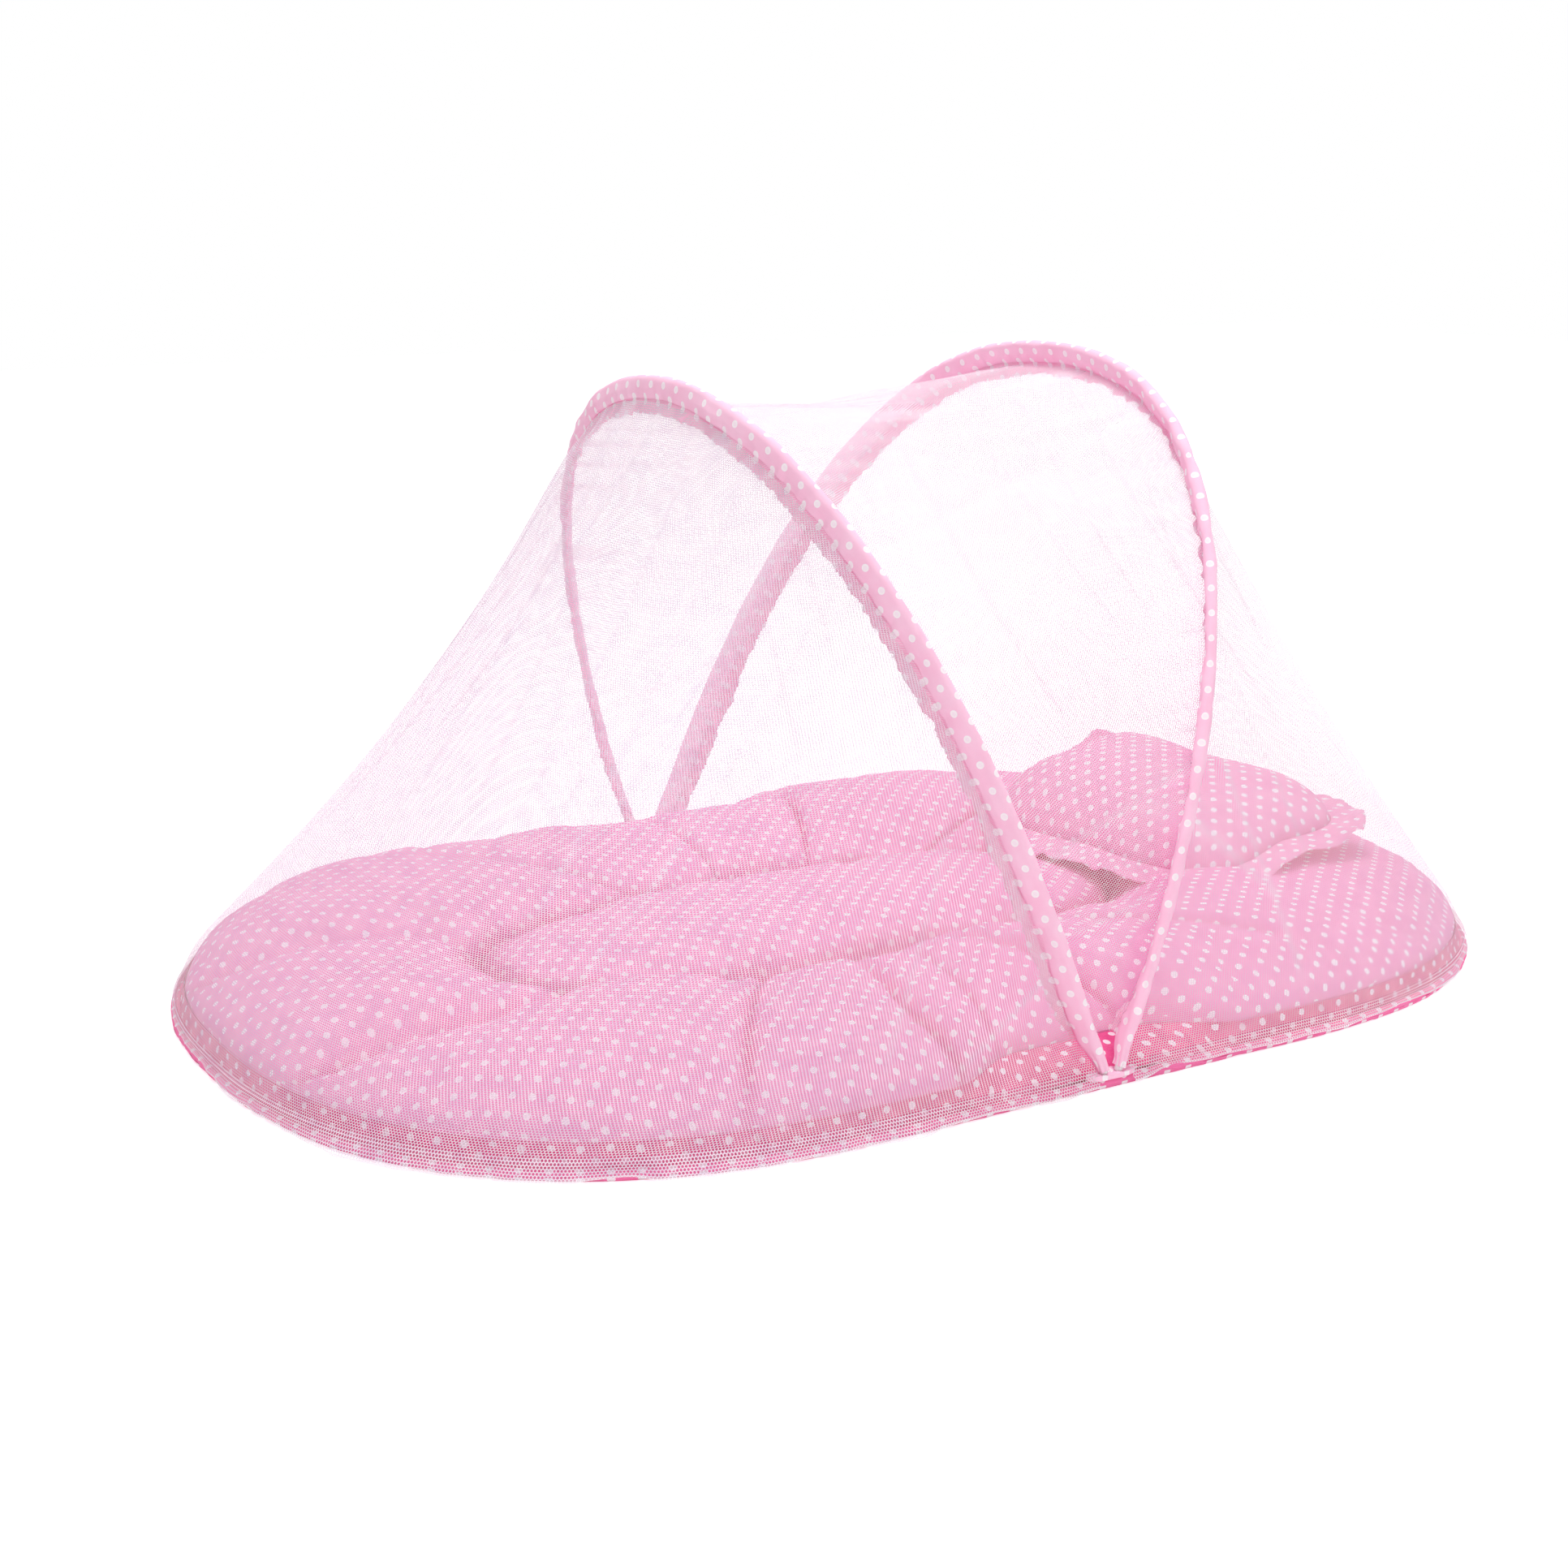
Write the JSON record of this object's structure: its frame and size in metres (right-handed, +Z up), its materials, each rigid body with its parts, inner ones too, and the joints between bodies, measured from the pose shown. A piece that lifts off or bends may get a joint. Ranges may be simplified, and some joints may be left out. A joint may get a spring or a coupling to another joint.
{
  "type": "mosquito net bed tent",
  "caption": "Baby bed tent: a stuffed dotted mattress on a sprung oval base, a pillow, and a white mosquito net over two hinged hoops with a zip round the foot end.",
  "frame": {"origin": "on the floor under the middle of the base ring", "axes": "+X towards the head end and pillow, +Y towards the far side with the zip slider's park, +Z up"},
  "size_m": [1.1, 0.726, 0.5037],
  "materials": {
    "deep_pink_fabric": "deep pink printed cotton with white dots",
    "pink_fabric": "pink printed cotton with white dots",
    "pale_pink_fabric": "pink printed cotton with white dots, stuffed",
    "white_net": "sheer white knitted hexagonal net",
    "white_tape": "white woven tape",
    "spring_steel": "hardened spring wire",
    "white_plastic": "white moulded plastic",
    "zip_enamel": "white enamel on zip metal"
  },
  "bodies": {
    "base": {"base_rim_binding": "deep_pink_fabric", "base_rim_ferrule": "spring_steel", "base_rim_wire": "spring_steel", "floor_sheet": "deep_pink_fabric", "mattress_backing": "deep_pink_fabric", "mattress_pad": "pale_pink_fabric", "near_foot_tab": "pink_fabric", "far_foot_tab": "pink_fabric", "net_hem_tape": "white_tape", "zip_base_tape": "white_tape", "head_net": "white_net"},
    "head_hoop": {"head_hoop_wire": "spring_steel", "head_hoop_sleeve": "pink_fabric", "head_hoop_flange": "pink_fabric", "head_hoop_near_cap": "white_plastic", "head_hoop_far_cap": "white_plastic", "centre_net": "white_net"},
    "foot_hoop": {"foot_hoop_wire": "spring_steel", "foot_hoop_sleeve": "pink_fabric", "foot_hoop_flange": "pink_fabric", "foot_hoop_near_cap": "white_plastic", "foot_hoop_far_cap": "white_plastic", "foot_net": "white_net", "zip_net_tape": "white_tape"},
    "zip_slider": {"zip_slider": "zip_enamel"},
    "zip_pull": {"zip_pull": "zip_enamel"},
    "pillow": {"pillow_pad": "pale_pink_fabric", "pillow_border": "pale_pink_fabric"}
  },
  "joints": [
    {"name": "head_hoop_fold", "type": "hinge", "parent": "base", "child": "head_hoop", "pos_m": [0.007, 0, 0.01271], "axis": [0, 1, 0], "range_deg": [0, 36], "deforming": ["head_net", "foot_net", "zip_net_tape"]},
    {"name": "foot_hoop_close", "type": "hinge", "parent": "head_hoop", "child": "foot_hoop", "pos_m": [-0.007, 0, 0.01271], "axis": [0, 1, 0], "range_deg": [0, 33], "deforming": ["centre_net"]},
    {"name": "zip_slide", "type": "slide", "parent": "base", "child": "zip_slider", "axis": [-1, 0, 0], "range_m": [0, 0.113]},
    {"name": "zip_pull_swing", "type": "hinge", "parent": "zip_slider", "child": "zip_pull", "pos_m": [-0.052, 0.3607, 0.01201], "axis": [0, 0, -1], "range_deg": [0, 150]},
    {"name": "pillow_lift", "type": "slide", "parent": "base", "child": "pillow", "axis": [0, 0, 1], "range_m": [0, 0.04]}
  ],
  "couplings": [
    {"joint": "foot_hoop_close", "follows": "head_hoop_fold", "ratio": 0.91667}
  ]
}
